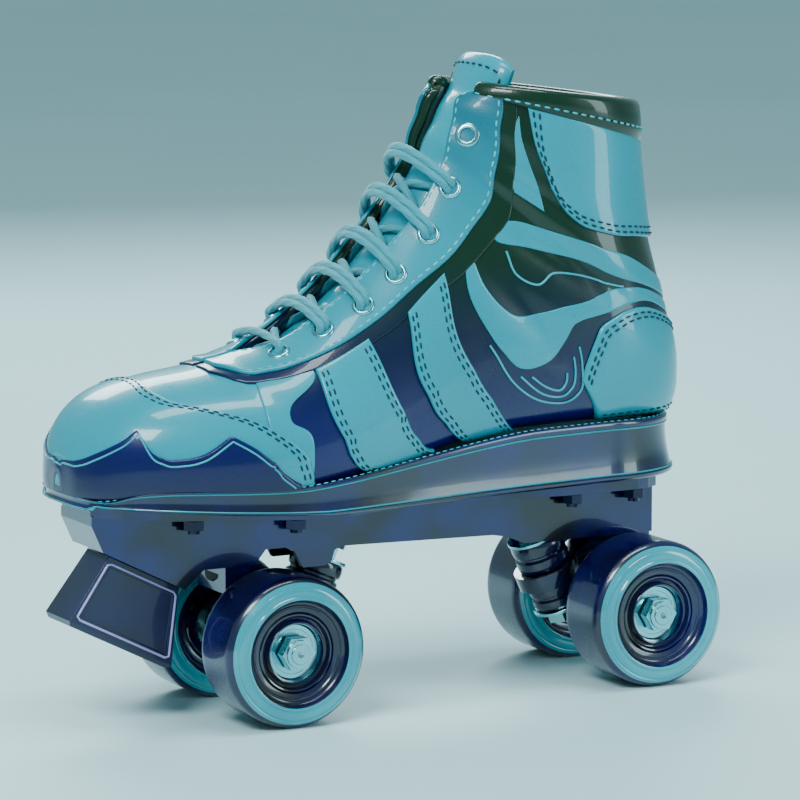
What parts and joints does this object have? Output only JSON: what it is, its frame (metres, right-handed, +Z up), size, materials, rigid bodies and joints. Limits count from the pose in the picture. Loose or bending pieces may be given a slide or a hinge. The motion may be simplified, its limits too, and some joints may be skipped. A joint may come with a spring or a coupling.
{
  "type": "quad roller skate",
  "caption": "Lace-up ankle-high roller skate boot on a baseplate with cushioned steering trucks, wheels in two pairs on ball bearings, and a block toe stop.",
  "frame": {"origin": "on the floor plane, midway between the two axles, in the skate's middle plane", "axes": "+X towards the toe, +Y towards the wearer's left, which is the outer side of this left skate, +Z up"},
  "size_m": [0.2851, 0.1012, 0.2646],
  "materials": {
    "teal_leather": "glossy",
    "green_leather": "glossy",
    "navy_leather": "glossy",
    "lace_cotton": "matte",
    "bright_steel": "polished",
    "dark_steel": "satin",
    "insole_fabric": "matte",
    "sole_rubber": "satin",
    "plate_metal": "glossy",
    "truck_metal": "glossy",
    "stop_rubber": "satin",
    "black_plastic": "matte",
    "cushion_rubber": "satin",
    "wheel_tyre": "glossy",
    "hub_plastic": "glossy"
  },
  "bodies": {
    "skate": {"vamp": "teal_leather", "left_quarter": "green_leather", "right_quarter": "green_leather", "toe_cap": "teal_leather", "toe_guard": "navy_leather", "side_bands": "teal_leather", "heel_counter": "teal_leather", "ankle_patch": "teal_leather", "left_eyestay": "teal_leather", "right_eyestay": "teal_leather", "collar_binding": "green_leather", "tongue": "teal_leather", "laces": "lace_cotton", "eyelets": "bright_steel", "insole": "insole_fabric", "outsole": "sole_rubber", "baseplate": "plate_metal", "plate_bolts": "dark_steel", "plate_nuts": "dark_steel", "toe_stop": "stop_rubber", "toe_stop_bolt": "bright_steel", "toe_stop_washer": "bright_steel", "front_pivot_cup": "black_plastic", "front_kingpin": "bright_steel", "front_kingpin_nut": "bright_steel", "front_upper_cushion": "cushion_rubber", "front_lower_cushion": "cushion_rubber", "front_cushion_retainers": "bright_steel", "rear_pivot_cup": "black_plastic", "rear_kingpin": "bright_steel", "rear_kingpin_nut": "bright_steel", "rear_upper_cushion": "cushion_rubber", "rear_lower_cushion": "cushion_rubber", "rear_cushion_retainers": "bright_steel"},
    "front_truck": {"front_hanger": "truck_metal", "front_axle": "bright_steel", "front_axle_nuts": "bright_steel", "front_axle_washers": "bright_steel", "front_bearing_spacers": "bright_steel", "front_inner_races": "bright_steel"},
    "front_left_wheel": {"front_left_tyre": "wheel_tyre", "front_left_hub": "hub_plastic", "front_left_bearings": "bright_steel"},
    "front_right_wheel": {"front_right_tyre": "wheel_tyre", "front_right_hub": "hub_plastic", "front_right_bearings": "bright_steel"},
    "rear_truck": {"rear_hanger": "truck_metal", "rear_axle": "bright_steel", "rear_axle_nuts": "bright_steel", "rear_axle_washers": "bright_steel", "rear_bearing_spacers": "bright_steel", "rear_inner_races": "bright_steel"},
    "rear_left_wheel": {"rear_left_tyre": "wheel_tyre", "rear_left_hub": "hub_plastic", "rear_left_bearings": "bright_steel"},
    "rear_right_wheel": {"rear_right_tyre": "wheel_tyre", "rear_right_hub": "hub_plastic", "rear_right_bearings": "bright_steel"}
  },
  "joints": [
    {"name": "front_truck_steer", "type": "hinge", "parent": "skate", "child": "front_truck", "pos_m": [0.058, 0, 0.044], "axis": [0.9191, 0, 0.3939], "range_deg": [-7, 7], "stiffness_Nm_per_rad": 40, "deforming": ["front_upper_cushion", "front_lower_cushion"]},
    {"name": "front_left_wheel_spin", "type": "hinge", "parent": "front_truck", "child": "front_left_wheel", "pos_m": [0.085, 0.034, 0.031], "axis": [0, 1, 0], "continuous": true},
    {"name": "front_right_wheel_spin", "type": "hinge", "parent": "front_truck", "child": "front_right_wheel", "pos_m": [0.085, -0.034, 0.031], "axis": [0, 1, 0], "continuous": true},
    {"name": "rear_truck_steer", "type": "hinge", "parent": "skate", "child": "rear_truck", "pos_m": [-0.058, 0, 0.044], "axis": [-0.9191, 0, 0.3939], "range_deg": [-7, 7], "stiffness_Nm_per_rad": 40, "deforming": ["rear_upper_cushion", "rear_lower_cushion"]},
    {"name": "rear_left_wheel_spin", "type": "hinge", "parent": "rear_truck", "child": "rear_left_wheel", "pos_m": [-0.085, 0.034, 0.031], "axis": [0, 1, 0], "continuous": true},
    {"name": "rear_right_wheel_spin", "type": "hinge", "parent": "rear_truck", "child": "rear_right_wheel", "pos_m": [-0.085, -0.034, 0.031], "axis": [0, 1, 0], "continuous": true}
  ]
}
